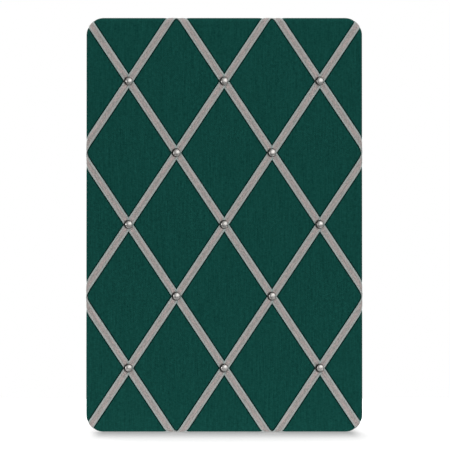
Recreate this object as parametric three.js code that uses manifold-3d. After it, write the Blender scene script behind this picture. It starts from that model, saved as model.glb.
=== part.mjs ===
// Ribbon memo board: cloth over wadding on a fibreboard panel, crossed both ways by ribbons that
// domed tacks hold down where they meet, with a felt back and two D-ring hangers.
// Millimetres, +Z up. The front faces -Y and the wall is the plane y = 0. The origin is the point
// of the wall midway between the two hooks that the rings hang on.
import * as THREE from 'three';
import { mergeVertices } from 'three/addons/utils/BufferGeometryUtils.js';
import Module from 'manifold-3d';

const wasm = await Module();
wasm.setup();

// Covered panel
const panelWidth = 406.4;
const panelHeight = 609.6;
const cornerRadius = 25.4;
const boardThickness = 12;
const waddingThickness = 6;
const clothThickness = 0.7;
const hemDepth = 17;
const layerGap = 0.2;

// Pillowed face, as depths below the highest plane of the pad
const crownSink = 0.2;
const edgeSink = 0.2;
const ribbonSink = 1.6;
const tackSink = 2.6;
const grooveMargin = 1;
const fadeDistance = 40;
const crownShare = 0.3;

// Ribbon lattice: as many diamonds across the panel as up it, so that they share its shape
const diamondCount = 2.89;
const tackEdgeMargin = 25;
const ribbonWidth = 11.1;
const ribbonThickness = 0.6;
const tailDepth = 38;

// Tacks
const tackHeadRadius = 5.8;
const tackHeadHeight = 3.4;
const tackHeadWall = 0.7;
const tackShankRadius = 0.9;
const tackLength = 16;
const tackPoint = 2.5;
const piercingClearance = 0.3;

// Staples at the ribbon tails
const stapleCrown = 9;
const stapleLeg = 6;
const stapleWire = 0.6;
const stapleWireWidth = 1.2;
const stapleDepth = 31;
const stapleClearance = 0.2;

// Felt back, dished over the hem and the ribbon tails
const feltThickness = 1.2;
const feltInset = 10;
const feltRimWidth = 33;
const feltSlope = 9;

// Hangers: strap folded round the bar of a D ring, one pan-head screw each
const hangerInset = 73.2;
const hangerDrop = 114.8;
const strapWidth = 10;
const strapLeaf = 0.8;
const strapLength = 27;
const loopShoulder = 5;
const screwFromBar = 19;
const ringWireRadius = 1;
const ringWidth = 18;
const ringLeg = 4;
const ringCorner = 1.6;
const loopClearance = 0.3;
const ringRestGap = 0.3;
const screwHeadRadius = 3.2;
const screwHeadHeight = 1.8;
const screwCrownRadius = 2.3;
const screwShankRadius = 1.5;
const screwLength = 12;
const screwPoint = 3;
const screwClearance = 0.2;
const slotLength = 4.2;
const slotWidth = 0.9;
const slotDepth = 1;

// Rubber bumpers that hold the lower edge off the wall
const bumperRadius = 5;
const bumperHeight = 3;
const bumperChamfer = 0.7;
const bumperInset = 24;

// Facets
const cornerSteps = 5;
const rollSteps = 4;
const turnSteps = 2;
const twistSteps = 5;
const tackSegments = 12;
const domeSteps = 3;
const holeSegments = 6;
const roundSegments = 16;
const ringSteps = 36;
const ringSides = 8;

// Depths of the layers, from the wall to the face
const quarterTurn = Math.PI / 2;
const feltRimY = -bumperHeight - layerGap;
const ribbonStack = 2 * (layerGap + ribbonThickness);
const stapleStack = layerGap + stapleWire + layerGap;
const hemY = feltRimY - feltThickness - ribbonStack - stapleStack;
const boardInset = clothThickness + layerGap;
const boardBackY = hemY - boardInset;
const boardFrontY = boardBackY - boardThickness;
const waddingBackY = boardFrontY - layerGap;
const rollRadius = waddingThickness + boardInset;
const frontY = waddingBackY - rollRadius;
const feltMiddleY = boardBackY + layerGap + feltThickness;
const clearOfPart = 10;
const hairbreadth = 1e-4;

// Lengths along the cloth from the start of the edge roll to the back turn and to the flat back
const turnStart = rollRadius * quarterTurn + boardBackY - waddingBackY;
const backStart = turnStart + boardInset * quarterTurn;
const rollStartRadius = Math.max(cornerRadius - rollRadius, layerGap);

// Lattice lines: u counts the falling ribbons and v the rising ones, whole on each ribbon's centre
const latticeHalfWidth = panelWidth / diamondCount / 2;
const latticeHalfHeight = panelHeight / diamondCount / 2;
const latticeStep = Math.hypot(latticeHalfWidth, latticeHalfHeight);
const lineSpacing = 2 * latticeHalfWidth * latticeHalfHeight / latticeStep;
const halfRibbonShare = ribbonWidth / 2 / lineSpacing;
const grooveShare = halfRibbonShare + grooveMargin / lineSpacing;

const cloth = new THREE.MeshStandardMaterial({ color: 0x12413a, roughness: 0.95, metalness: 0 });
const wadding = new THREE.MeshStandardMaterial({ color: 0xf1efe8, roughness: 1, metalness: 0 });
const fibreboard = new THREE.MeshStandardMaterial({ color: 0x9c7a52, roughness: 0.9, metalness: 0 });
const ribbonWeave = new THREE.MeshStandardMaterial({ color: 0x9e9692, roughness: 0.7, metalness: 0 });
const nickel = new THREE.MeshStandardMaterial({ color: 0xc4c1bc, roughness: 0.2, metalness: 1 });
const steel = new THREE.MeshStandardMaterial({ color: 0xa9abad, roughness: 0.35, metalness: 1 });
const felt = new THREE.MeshStandardMaterial({ color: 0x24262a, roughness: 1, metalness: 0 });
const rubber = new THREE.MeshStandardMaterial({ color: 0x3a3b3d, roughness: 0.8, metalness: 0 });

// A closed geometry as a solid that can be cut
function toSolid(geometry) {
  const bare = geometry.clone();
  bare.deleteAttribute('normal');
  bare.deleteAttribute('uv');
  const merged = mergeVertices(bare, hairbreadth);
  const vertProperties = Float32Array.from(merged.attributes.position.array);
  const triVerts = Uint32Array.from(merged.index.array);
  return new wasm.Manifold(new wasm.Mesh({ numProp: 3, vertProperties, triVerts }));
}

function toGeometry(solid) {
  const { vertProperties, triVerts } = solid.getMesh();
  const geometry = new THREE.BufferGeometry();
  geometry.setAttribute('position', new THREE.BufferAttribute(Float32Array.from(vertProperties), 3));
  geometry.setIndex(new THREE.BufferAttribute(Uint32Array.from(triVerts), 1));
  geometry.computeVertexNormals();
  return geometry;
}

function cutAll(solid, tools) {
  return tools.reduce((left, tool) => left.subtract(tool), solid);
}

// A closed skin through rings of equally many points, with a fan over the first and the last ring
function loft(rings) {
  const size = rings[0].length;
  const middle = (ring) => ring.reduce((sum, p) => sum.add(p), new THREE.Vector3()).divideScalar(size);
  const points = [...rings.flat(), middle(rings[0]), middle(rings.at(-1))];
  const firstMiddle = rings.length * size;
  const index = [];
  for (let i = 0; i < size; i++) {
    const next = (i + 1) % size;
    index.push(firstMiddle, i, next);
    for (let ring = 0; ring < rings.length - 1; ring++) {
      const near = ring * size;
      const far = near + size;
      index.push(near + i, far + i, far + next, near + i, far + next, near + next);
    }
    const last = (rings.length - 1) * size;
    index.push(firstMiddle + 1, last + next, last + i);
  }
  const geometry = new THREE.BufferGeometry().setFromPoints(points);
  geometry.setIndex(index);
  return geometry;
}

// The panel's outline drawn in by an inset, as a ring of points at one depth
function outlineRing(inset, y) {
  const radius = Math.max(cornerRadius - inset, layerGap);
  const centreX = panelWidth / 2 - inset - radius;
  const centreZ = panelHeight / 2 - inset - radius;
  const ring = [];
  for (let corner = 0; corner < 4; corner++) {
    const signX = corner === 0 || corner === 3 ? 1 : -1;
    const signZ = corner < 2 ? 1 : -1;
    for (let step = 0; step <= cornerSteps; step++) {
      const angle = (corner + step / cornerSteps) * quarterTurn;
      const x = signX * centreX + radius * Math.cos(angle);
      const z = signZ * centreZ + radius * Math.sin(angle);
      ring.push(new THREE.Vector3(x, y, z));
    }
  }
  return ring;
}

// How far a point of the face lies inside the line where the rolled edge starts, and the way out
function faceEdge(x, z) {
  const overX = Math.abs(x) - (panelWidth / 2 - rollRadius - rollStartRadius);
  const overZ = Math.abs(z) - (panelHeight / 2 - rollRadius - rollStartRadius);
  const outside = Math.hypot(Math.max(overX, 0), Math.max(overZ, 0));
  const distance = outside + Math.min(Math.max(overX, overZ), 0) - rollStartRadius;
  const way = new THREE.Vector3(Math.sign(x) * Math.max(overX, 0), 0, Math.sign(z) * Math.max(overZ, 0));
  if (overX <= 0 && overZ <= 0) {
    way.set(overX > overZ ? Math.sign(x) : 0, 0, overX > overZ ? 0 : Math.sign(z));
  }
  return { inside: -distance, outward: way.normalize(), atCorner: overX > 0 && overZ > 0 };
}

// Section of the covered edge at an offset from the cloth's outer face: over the roll, down the side
// and in over the back. out is outward from the roll's start, run the length along the cloth.
function edgeSection(offset, backDepth, sideSteps = 1) {
  const stations = [];
  for (let step = 0; step <= rollSteps; step++) {
    const angle = step / rollSteps * quarterTurn;
    stations.push({
      out: (rollRadius + offset) * Math.sin(angle),
      y: waddingBackY - (rollRadius + offset) * Math.cos(angle),
      run: rollRadius * angle,
    });
  }
  for (let step = 1; step < sideSteps; step++) {
    const down = step / sideSteps * (boardBackY - waddingBackY);
    stations.push({ out: rollRadius + offset, y: waddingBackY + down, run: rollRadius * quarterTurn + down });
  }
  for (let step = 0; step <= turnSteps; step++) {
    const angle = step / turnSteps * quarterTurn;
    stations.push({
      out: waddingThickness + (boardInset + offset) * Math.cos(angle),
      y: boardBackY + (boardInset + offset) * Math.sin(angle),
      run: turnStart + boardInset * angle,
    });
  }
  const backOut = rollRadius - backDepth;
  stations.push({ out: backOut, y: hemY + offset, run: backStart + waddingThickness - backOut });
  return stations;
}

function latticePoint(u, v) {
  return [latticeHalfWidth * (u + v), latticeHalfHeight * (u - v)];
}

function onLine(share) {
  return Math.abs(share - Math.round(share)) < grooveShare + hairbreadth;
}

// How far the face is drawn in at a point of the lattice: most at the tacks, then along the ribbons
function padSink(u, v) {
  const falling = onLine(u);
  const rising = onLine(v);
  const [x, z] = latticePoint(falling ? Math.round(u) : u, rising ? Math.round(v) : v);
  if (faceEdge(x, z).inside < fadeDistance) return edgeSink;
  if (falling && rising) return tackSink;
  return falling || rising ? ribbonSink : crownSink;
}

const latticeCells = 1 + Math.ceil(diamondCount);
const latticeNodes = [];
for (let cell = -latticeCells; cell < latticeCells; cell++) {
  for (const share of [grooveShare, crownShare, 1 - crownShare, 1 - grooveShare]) {
    latticeNodes.push(cell + share);
  }
}

// The space behind the pillowed face, moved back by a depth, wider and deeper than the panel
function pillowSlab(depth) {
  const size = latticeNodes.length;
  const points = [];
  for (const back of [false, true]) {
    for (const u of latticeNodes) {
      for (const v of latticeNodes) {
        const [x, z] = latticePoint(u, v);
        points.push(new THREE.Vector3(x, back ? clearOfPart : frontY + padSink(u, v) + depth, z));
      }
    }
  }
  const index = [];
  const quad = (a, b, c, d) => index.push(a, b, c, a, c, d);
  const at = (i, j, back) => (back * size + i) * size + j;
  for (let i = 0; i < size - 1; i++) {
    for (let j = 0; j < size - 1; j++) {
      quad(at(i, j, 0), at(i, j + 1, 0), at(i + 1, j + 1, 0), at(i + 1, j, 0));
      quad(at(i, j, 1), at(i + 1, j, 1), at(i + 1, j + 1, 1), at(i, j + 1, 1));
    }
    const end = size - 1;
    quad(at(i, 0, 0), at(i + 1, 0, 0), at(i + 1, 0, 1), at(i, 0, 1));
    quad(at(i + 1, end, 0), at(i, end, 0), at(i, end, 1), at(i + 1, end, 1));
    quad(at(0, i + 1, 0), at(0, i, 0), at(0, i, 1), at(0, i + 1, 1));
    quad(at(end, i, 0), at(end, i + 1, 0), at(end, i + 1, 1), at(end, i, 1));
  }
  const geometry = new THREE.BufferGeometry().setFromPoints(points);
  geometry.setIndex(index);
  return toSolid(geometry);
}

// Tacks stand where two ribbons cross well inside the edge; ribbons run through the tacks
const tackPlaces = [];
for (let u = -latticeCells; u <= latticeCells; u++) {
  for (let v = -latticeCells; v <= latticeCells; v++) {
    const [x, z] = latticePoint(u, v);
    const rimY = frontY + padSink(u, v) - ribbonStack - layerGap;
    if (faceEdge(x, z).inside > tackEdgeMargin) tackPlaces.push({ u, v, x, z, rimY });
  }
}
const lineNumbers = (key) => [...new Set(tackPlaces.map((place) => place[key]))].sort((a, b) => a - b);

// Where a ribbon's centre line leaves the face, which way is out there, and its sideways drift
function ribbonEnd(from, travel, side) {
  let near = 0;
  let far = panelWidth + panelHeight;
  while (far - near > hairbreadth) {
    const half = (near + far) / 2;
    const inside = faceEdge(from.x + travel.x * half, from.z + travel.z * half).inside > 0;
    if (inside) near = half;
    else far = half;
  }
  const exit = from.clone().addScaledVector(travel, near);
  const { outward, atCorner } = faceEdge(exit.x, exit.z);
  const along = new THREE.Vector3(-outward.z, 0, outward.x);
  if (along.dot(side) < 0) along.negate();
  const outShare = travel.dot(outward);
  const drift = travel.dot(along) / outShare;
  return { exit, reach: near, outward, along, drift, halfSpan: ribbonWidth / 2 / outShare, atCorner };
}

// The ribbon lies straight on the unrolled edge: beside a straight edge it drifts along it, and at a
// rounded corner the way out swings round the corner's centre until the ribbon turns in over the back
function wrapFrame(end, run) {
  const onEdge = Math.min(run, backStart);
  const swing = end.atCorner ? onEdge * end.drift / cornerRadius : 0;
  const cos = Math.cos(swing);
  const sin = Math.sin(swing);
  const outward = end.outward.clone().multiplyScalar(cos).addScaledVector(end.along, sin);
  const along = end.along.clone().multiplyScalar(cos).addScaledVector(end.outward, -sin);
  const origin = end.exit.clone();
  if (end.atCorner) {
    origin.addScaledVector(end.outward, -rollStartRadius).addScaledVector(outward, rollStartRadius);
  }
  origin.addScaledVector(along, (end.atCorner ? run - onEdge : run) * end.drift);
  return { origin, outward, along };
}

// The point of the wrapped ribbon at a station of its edge section; side is -1 or 1
function wrapPoint(end, station, side) {
  const { origin, outward, along } = wrapFrame(end, station.run);
  const point = origin.addScaledVector(outward, station.out).addScaledVector(along, side * end.halfSpan);
  point.y = station.y;
  return point;
}

// One ribbon along a lattice line: falling ribbons keep u, rising ones keep v and pass on top
function ribbonPlan(line, rising) {
  const nodeOf = (along, side) => {
    const off = side * halfRibbonShare;
    return rising ? [along, line + off] : [line - off, along];
  };
  const facePoint = (along, side, y) => {
    const [x, z] = latticePoint(...nodeOf(along, side));
    return new THREE.Vector3(x, y, z);
  };
  const tacks = tackPlaces.filter((place) => (rising ? place.v : place.u) === line);
  const middle = facePoint(rising ? tacks[0].u : tacks[0].v, 0, 0);
  const travel = facePoint(1, 0, 0).sub(facePoint(0, 0, 0)).normalize();
  const side = new THREE.Vector3(travel.z, 0, -travel.x);
  const start = ribbonEnd(middle, travel.clone().negate(), side);
  const finish = ribbonEnd(middle, travel, side);
  return { line, rising, nodeOf, facePoint, tacks, start, finish };
}

// Stands of a ribbon's two faces off the cloth: rising ribbons step over the falling ones
function ribbonOffsets(raised) {
  const inner = layerGap + (raised ? layerGap + ribbonThickness : 0);
  return [inner, inner + ribbonThickness];
}

function ribbonSolid(plan) {
  const { rising, nodeOf, facePoint, tacks, start, finish } = plan;
  const wrapRings = (end) => {
    const sideSteps = end.atCorner ? twistSteps : 1;
    const [inner, outer] = ribbonOffsets(rising).map((offset) => edgeSection(offset, tailDepth, sideSteps));
    return inner.map((station, i) => [
      wrapPoint(end, station, -1),
      wrapPoint(end, station, 1),
      wrapPoint(end, outer[i], 1),
      wrapPoint(end, outer[i], -1),
    ]);
  };
  const firstAlong = rising ? tacks[0].u : tacks[0].v;
  const clearOfRoll = (end) => ribbonWidth * (1 + Math.abs(end.drift) / 2);
  const from = firstAlong - (start.reach - clearOfRoll(start)) / latticeStep;
  const to = firstAlong + (finish.reach - clearOfRoll(finish)) / latticeStep;
  const faceRing = (along, sink, raised) => {
    const [inner, outer] = ribbonOffsets(raised).map((offset) => frontY + sink - offset);
    return [
      facePoint(along, -1, inner),
      facePoint(along, 1, inner),
      facePoint(along, 1, outer),
      facePoint(along, -1, outer),
    ];
  };
  const nodes = latticeNodes.filter((along) => along > from && along < to);
  const faceRings = [
    faceRing(from, edgeSink, rising),
    ...nodes.map((along) => faceRing(along, padSink(...nodeOf(along, 0)), rising && onLine(along))),
    faceRing(to, edgeSink, rising),
  ];
  return toSolid(loft([...wrapRings(start).reverse(), ...faceRings, ...wrapRings(finish)]));
}

// A staple straddles the ribbon's tail on the back: its crown runs across the tail, its legs go in
function staplePlace(plan, end) {
  const station = edgeSection(ribbonOffsets(plan.rising)[1], stapleDepth).at(-1);
  const middle = wrapPoint(end, station, 0);
  const { outward, along } = wrapFrame(end, station.run);
  const across = along.addScaledVector(outward, end.drift).normalize();
  const back = new THREE.Vector3(0, 1, 0);
  const placed = new THREE.Matrix4().makeBasis(across, back, across.clone().cross(back));
  return placed.setPosition(middle.x, middle.y + layerGap, middle.z);
}

function stapleGeometry(place) {
  const half = stapleCrown / 2;
  const outline = new THREE.Shape();
  outline.moveTo(-half, -stapleLeg);
  outline.lineTo(-half + stapleWire, -stapleLeg);
  outline.lineTo(-half + stapleWire, 0);
  outline.lineTo(half - stapleWire, 0);
  outline.lineTo(half - stapleWire, -stapleLeg);
  outline.lineTo(half, -stapleLeg);
  outline.lineTo(half, stapleWire);
  outline.lineTo(-half, stapleWire);
  const geometry = new THREE.ExtrudeGeometry(outline, { depth: stapleWireWidth, bevelEnabled: false });
  return geometry.translate(0, 0, -stapleWireWidth / 2).applyMatrix4(place);
}

function stapleHoles(place) {
  const wide = stapleWire + 2 * stapleClearance;
  const deep = stapleLeg + stapleClearance;
  const offset = (stapleCrown - stapleWire) / 2;
  return [-offset, offset].map((x) => {
    const slot = new THREE.BoxGeometry(wide, 2 * deep, stapleWireWidth + 2 * stapleClearance);
    return toSolid(slot.translate(x, 0, 0).applyMatrix4(place));
  });
}

// A turned shape from [radius, height] pairs that run down from the axis to the axis, along +Y
function turned(profile, segments) {
  const points = profile.map(([radius, height]) => new THREE.Vector2(radius, height));
  return new THREE.LatheGeometry(points.reverse(), segments);
}

// A drilled hole along Y, whose flats are a radius from its axis
function holeAt(x, z, radius, nearY, farY) {
  const toCorners = radius / Math.cos(Math.PI / holeSegments);
  const cylinder = new THREE.CylinderGeometry(toCorners, toCorners, farY - nearY, holeSegments);
  return toSolid(cylinder.translate(x, (nearY + farY) / 2, z));
}

// Domed cap, hollow behind, with its shank; the rim is at height 0 and the dome on the +Y side
function tackGeometry() {
  const profile = [];
  const arc = (radius, height, angle) => [radius * Math.sin(angle), height * Math.cos(angle)];
  for (let step = 0; step <= domeSteps; step++) {
    profile.push(arc(tackHeadRadius, tackHeadHeight, step / domeSteps * quarterTurn));
  }
  const hollowRadius = tackHeadRadius - tackHeadWall;
  const hollowHeight = tackHeadHeight - tackHeadWall;
  const shankAngle = Math.asin(tackShankRadius / hollowRadius);
  for (let step = domeSteps; step >= 0; step--) {
    const angle = shankAngle + step / domeSteps * (quarterTurn - shankAngle);
    profile.push(arc(hollowRadius, hollowHeight, angle));
  }
  profile.push([tackShankRadius, tackPoint - tackLength], [0, -tackLength]);
  return turned(profile, tackSegments);
}

function screwGeometry() {
  const body = turned([
    [0, screwHeadHeight],
    [screwCrownRadius, screwHeadHeight],
    [screwHeadRadius, screwHeadHeight / 2],
    [screwHeadRadius, 0],
    [screwShankRadius, 0],
    [screwShankRadius, screwPoint - screwLength],
    [0, -screwLength],
  ], roundSegments);
  const slots = [[slotLength, slotWidth], [slotWidth, slotLength]].map(([alongX, alongZ]) => {
    const box = new THREE.BoxGeometry(alongX, 2 * slotDepth, alongZ);
    return toSolid(box.translate(0, screwHeadHeight, 0));
  });
  return toGeometry(cutAll(toSolid(body), slots));
}

// Strap with its bar loop at the origin and its screw end down; the wall side is +Y
const loopRadius = strapLeaf + loopClearance + ringWireRadius;

function strapGeometry() {
  const section = new THREE.Shape();
  section.moveTo(strapLength, 0);
  section.lineTo(0, 0);
  section.absarc(0, loopRadius, loopRadius, -quarterTurn, quarterTurn, true);
  section.lineTo(loopShoulder, 2 * strapLeaf);
  section.lineTo(strapLength, 2 * strapLeaf);
  const bore = new THREE.Path();
  bore.absarc(0, loopRadius, loopRadius - strapLeaf, 0, 4 * quarterTurn);
  section.holes.push(bore);
  const folded = new THREE.ExtrudeGeometry(section, {
    depth: strapWidth,
    bevelEnabled: false,
    curveSegments: roundSegments / 2,
  });
  folded.translate(0, 0, -strapWidth / 2).rotateY(quarterTurn);
  const half = strapWidth / 2;
  const plan = new THREE.Shape();
  plan.moveTo(-half, 2 * loopRadius);
  plan.lineTo(-half, half - strapLength);
  plan.absarc(0, half - strapLength, half, -2 * quarterTurn, 0);
  plan.lineTo(half, 2 * loopRadius);
  const blank = new THREE.ExtrudeGeometry(plan, {
    depth: 2 * clearOfPart,
    bevelEnabled: false,
    curveSegments: roundSegments / 2,
  });
  blank.rotateX(quarterTurn).translate(0, clearOfPart, 0);
  const hole = holeAt(0, -screwFromBar, screwShankRadius + screwClearance, -clearOfPart, clearOfPart);
  return toGeometry(toSolid(folded).intersect(toSolid(blank)).subtract(hole));
}

// D ring: its bar along X through the origin, its bow hanging down
const ringDrop = ringLeg + ringWidth / 2;

function ringGeometry() {
  const half = ringWidth / 2;
  const path = new THREE.Path();
  path.moveTo(ringCorner - half, 0);
  path.lineTo(half - ringCorner, 0);
  path.absarc(half - ringCorner, -ringCorner, ringCorner, quarterTurn, 0, true);
  path.lineTo(half, -ringLeg);
  path.absarc(0, -ringLeg, half, 0, -2 * quarterTurn, true);
  path.lineTo(-half, -ringCorner);
  path.absarc(ringCorner - half, -ringCorner, ringCorner, 2 * quarterTurn, quarterTurn, true);
  const spaced = path.getSpacedPoints(ringSteps).slice(0, -1);
  const curve = new THREE.CatmullRomCurve3(spaced.map((p) => new THREE.Vector3(p.x, 0, p.y)), true);
  const tube = new THREE.TubeGeometry(curve, ringSteps, ringWireRadius, ringSides, true);
  return toGeometry(toSolid(tube));
}

function bumperGeometry() {
  return turned([
    [0, 0],
    [bumperRadius - bumperChamfer, 0],
    [bumperRadius, -bumperChamfer],
    [bumperRadius, -bumperHeight],
    [0, -bumperHeight],
  ], roundSegments);
}

// Everything is placed from the panel's centre, which lies below the hooks
const hookInRing = ringDrop - ringWireRadius;
const hangerHeight = panelHeight / 2 - hangerDrop;
const board = new THREE.Group();
board.position.z = -(hangerHeight + hookInRing);

function addPiece(name, geometry, material) {
  const mesh = new THREE.Mesh(geometry, material);
  mesh.name = name;
  board.add(mesh);
  return mesh;
}

const sectionRings = (stations) => stations.map((s) => outlineRing(rollRadius - s.out, s.y));

const ribbons = [];
for (const rising of [false, true]) {
  lineNumbers(rising ? 'v' : 'u').forEach((line, i) => {
    const plan = ribbonPlan(line, rising);
    const name = `${rising ? 'rising' : 'falling'}_${i + 1}`;
    const staples = [
      { end: rising ? 'lower' : 'upper', place: staplePlace(plan, plan.start) },
      { end: rising ? 'upper' : 'lower', place: staplePlace(plan, plan.finish) },
    ];
    ribbons.push({ name, plan, staples });
  });
}
const allStapleHoles = ribbons.flatMap(({ staples }) => staples.flatMap(({ place }) => stapleHoles(place)));

const tackHoles = tackPlaces.map(({ x, z, rimY }) => {
  const endY = rimY + tackLength + piercingClearance;
  return holeAt(x, z, tackShankRadius + piercingClearance, frontY - clearOfPart, endY);
});

const strapY = feltMiddleY + layerGap;
const barY = strapY + loopRadius;
const screwSeatY = strapY + 2 * strapLeaf + layerGap;
const screwZ = hangerHeight - screwFromBar;
const hangerX = panelWidth / 2 - hangerInset;
const hangerSides = [['left', -hangerX], ['right', hangerX]];
const screwHoles = hangerSides.map(([, x]) => {
  const tip = screwSeatY - screwLength - screwClearance;
  return holeAt(x, screwZ, screwShankRadius + screwClearance, tip, clearOfPart);
});

// Fibreboard panel, pierced by the tacks from the front and by staples and screws from behind
const boardBlank = loft([outlineRing(boardInset, boardFrontY), outlineRing(boardInset, boardBackY)]);
const boardCuts = [...tackHoles, ...allStapleHoles, ...screwHoles];
addPiece('backing_board', toGeometry(cutAll(toSolid(boardBlank), boardCuts)), fibreboard);

// Wadding, rounded over the panel's front edge and drawn in under the ribbons
const waddingRings = sectionRings(edgeSection(-boardInset, 0).slice(0, rollSteps + 1));
const waddingBody = toSolid(loft(waddingRings)).intersect(pillowSlab(boardInset));
addPiece('wadding_pad', toGeometry(cutAll(waddingBody, tackHoles)), wadding);

// Cloth cover: face, rolled edge, sides and a hem turned in over the back
const coverBody = toSolid(loft(sectionRings(edgeSection(0, hemDepth)))).intersect(pillowSlab(0));
const coverHollow = sectionRings(edgeSection(-clothThickness, hemDepth));
coverHollow.push(outlineRing(hemDepth, hemY + clearOfPart));
const coverCavity = toSolid(loft(coverHollow)).intersect(pillowSlab(clothThickness));
addPiece('cloth_cover', toGeometry(cutAll(coverBody.subtract(coverCavity), tackHoles)), cloth);

for (const { name, plan, staples } of ribbons) {
  const cuts = staples.flatMap(({ place }) => stapleHoles(place));
  const solid = cutAll(ribbonSolid(plan), [...cuts, ...tackHoles]);
  addPiece(`ribbon_${name}`, toGeometry(solid), ribbonWeave);
  for (const { end, place } of staples) {
    addPiece(`staple_${name}_${end}`, stapleGeometry(place), steel);
  }
}

const tackRows = [...new Set(tackPlaces.map(({ u, v }) => u - v))].sort((a, b) => b - a);
for (const [row, step] of tackRows.entries()) {
  const inRow = tackPlaces.filter(({ u, v }) => u - v === step).sort((a, b) => a.x - b.x);
  for (const [column, { x, z, rimY }] of inRow.entries()) {
    const domeForward = tackGeometry().rotateX(2 * quarterTurn);
    addPiece(`tack_row${row + 1}_${column + 1}`, domeForward, nickel).position.set(x, rimY, z);
  }
}

// Felt back: raised over the hem and tails, down to the panel inside them
const feltSteps = [
  [feltInset + feltRimWidth + feltSlope, feltMiddleY],
  [feltInset + feltRimWidth, feltRimY],
  [feltInset, feltRimY],
];
const feltInner = feltSteps.map(([inset, y]) => outlineRing(inset, y - feltThickness));
const feltOuter = feltSteps.map(([inset, y]) => outlineRing(inset, y)).reverse();
addPiece('felt_back', toGeometry(cutAll(toSolid(loft([...feltInner, ...feltOuter])), screwHoles)), felt);

const restRise = 2 * strapLeaf + ringRestGap + ringWireRadius - loopRadius;
for (const [side, x] of hangerSides) {
  addPiece(`hanger_strap_${side}`, strapGeometry(), steel).position.set(x, strapY, hangerHeight);
  addPiece(`hanger_screw_${side}`, screwGeometry(), steel).position.set(x, screwSeatY, screwZ);
  const ring = addPiece(`hanger_ring_${side}`, ringGeometry(), steel);
  ring.position.set(x, barY, hangerHeight);
  ring.rotation.x = Math.asin(restRise / ringDrop);
  const bumper = addPiece(`wall_bumper_${side}`, bumperGeometry(), rubber);
  const bumperX = Math.sign(x) * (panelWidth / 2 - bumperInset);
  bumper.position.set(bumperX, 0, bumperInset - panelHeight / 2);
}

export default board;
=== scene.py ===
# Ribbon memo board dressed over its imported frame: taut green cloth, taupe ribbons, domed tacks, felt back.
# The pieces' dictionaries are in millimetres from the hooks' midpoint, front towards -Y; meshes, floor,
# lamps and camera are in metres.
import math

import bmesh
import bpy
import numpy as np
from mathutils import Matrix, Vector


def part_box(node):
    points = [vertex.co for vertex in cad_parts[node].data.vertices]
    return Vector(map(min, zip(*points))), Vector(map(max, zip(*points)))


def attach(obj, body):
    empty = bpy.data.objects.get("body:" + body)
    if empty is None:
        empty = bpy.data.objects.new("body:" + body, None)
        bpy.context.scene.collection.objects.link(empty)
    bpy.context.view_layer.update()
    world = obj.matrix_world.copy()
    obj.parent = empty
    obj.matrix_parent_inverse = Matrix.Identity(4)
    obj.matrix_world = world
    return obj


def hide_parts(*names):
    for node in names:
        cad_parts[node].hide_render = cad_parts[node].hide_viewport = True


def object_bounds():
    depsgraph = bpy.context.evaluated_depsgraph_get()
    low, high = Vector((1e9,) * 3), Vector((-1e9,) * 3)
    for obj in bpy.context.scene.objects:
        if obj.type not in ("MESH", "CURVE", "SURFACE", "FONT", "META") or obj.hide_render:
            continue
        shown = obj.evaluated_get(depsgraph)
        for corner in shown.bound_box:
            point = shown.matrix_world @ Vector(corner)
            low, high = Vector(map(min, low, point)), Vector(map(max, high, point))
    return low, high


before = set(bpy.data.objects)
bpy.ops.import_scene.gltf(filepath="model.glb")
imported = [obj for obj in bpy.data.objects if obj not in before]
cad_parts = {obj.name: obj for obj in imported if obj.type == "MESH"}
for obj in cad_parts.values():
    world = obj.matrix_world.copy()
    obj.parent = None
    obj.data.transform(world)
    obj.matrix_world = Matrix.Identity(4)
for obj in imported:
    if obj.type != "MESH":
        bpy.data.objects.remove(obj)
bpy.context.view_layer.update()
mm = 0.001
weld = 1e-6  # metres within which vertices are merged
quarter = math.pi / 2

coverLow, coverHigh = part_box("cloth_cover")
panel = {
    "halfWide": (coverHigh.x - coverLow.x) / 2 / mm,
    "halfTall": (coverHigh.z - coverLow.z) / 2 / mm,
    "centreZ": (coverHigh.z + coverLow.z) / 2 / mm,
    "corner": 25.4,
    "roll": 6.9,  # radius of the padded front edge
    "turn": 0.9,  # radius of the edge behind
    "frontY": -27.0,
    "rollY": -20.1,  # the roll meets the straight side here
    "sideY": -7.9,  # the side turns in here
    "backY": -7.0,
}
centred = (0, 0, panel["centreZ"])  # from the panel's middle to the hooks' midpoint
startX = panel["halfWide"] - panel["roll"]  # the roll starts on this outline
startZ = panel["halfTall"] - panel["roll"]
startCorner = panel["corner"] - panel["roll"]
rollRun = panel["roll"] * quarter  # lengths along the cloth from the roll's start
sideRun = rollRun + panel["sideY"] - panel["rollY"]
turnRun = sideRun + panel["turn"] * quarter

lattice = {
    "diamonds": 2.89,  # diamonds across the panel, and up it
    "lines": 2,  # ribbons count from -2 to 2 each way
    "ribbonWide": 10.9,
    "crownSink": 0.2,
    "crownRise": 12.0,  # how far inside the roll the face reaches that depth
    "ribbonSink": 1.6,
    "grooveMargin": 1.0,  # a groove's floor is this much wider than its ribbon, each side
    "pressReach": 15.0,  # how far beside a ribbon the wadding stays pressed
    "tackSink": 3.3,
    "dimpleReach": 8.5,
    "edgeFade": 40.0,
    "edgeSink": 0.75,  # taut ribbons also press into the rolled edge, one over another at a crossing
    "edgeMargin": 0.5,
    "edgeSlope": 5.0,
    "fadeFrom": 3.0,  # that press eases out from here past the roll
    "fadeTo": 1.0,  # to here before the turn
}
diamondX = panel["halfWide"] / lattice["diamonds"]
diamondZ = panel["halfTall"] / lattice["diamonds"]
diamondSide = math.hypot(diamondX, diamondZ)
lineSpacing = 2 * diamondX * diamondZ / diamondSide


def ease(low, high, value):
    # smooth step from 0 at low to 1 at high
    share = np.clip((value - low) / (high - low), 0, 1)
    return share * share * (3 - 2 * share)


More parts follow.
